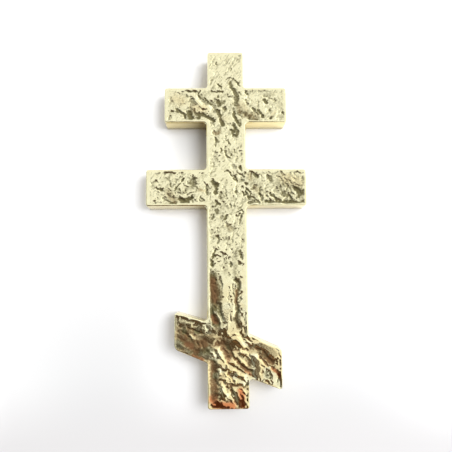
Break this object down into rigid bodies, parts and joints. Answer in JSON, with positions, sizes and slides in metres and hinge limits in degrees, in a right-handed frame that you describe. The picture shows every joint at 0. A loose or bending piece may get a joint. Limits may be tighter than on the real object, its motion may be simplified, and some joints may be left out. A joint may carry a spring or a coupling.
{
  "type": "orthodox cross",
  "caption": "Flat cast brass grave cross with straight bars and a slanted footrest, a rough relief face inside a smooth rim and a flat back for fixing.",
  "frame": {"origin": "on the flat back, at the middle of the whole casting's box, which lies under the stem", "axes": "+X to the right across the bars, +Y along the stem towards the head, +Z out of the rough face"},
  "size_m": [0.0904, 0.2, 0.0125],
  "materials": {
    "brass": "polished pale brass on the rim and the tops of the relief, dark olive patina in its grooves and pits"
  },
  "bodies": {
    "root": {"cross_casting": "brass"}
  },
  "joints": []
}
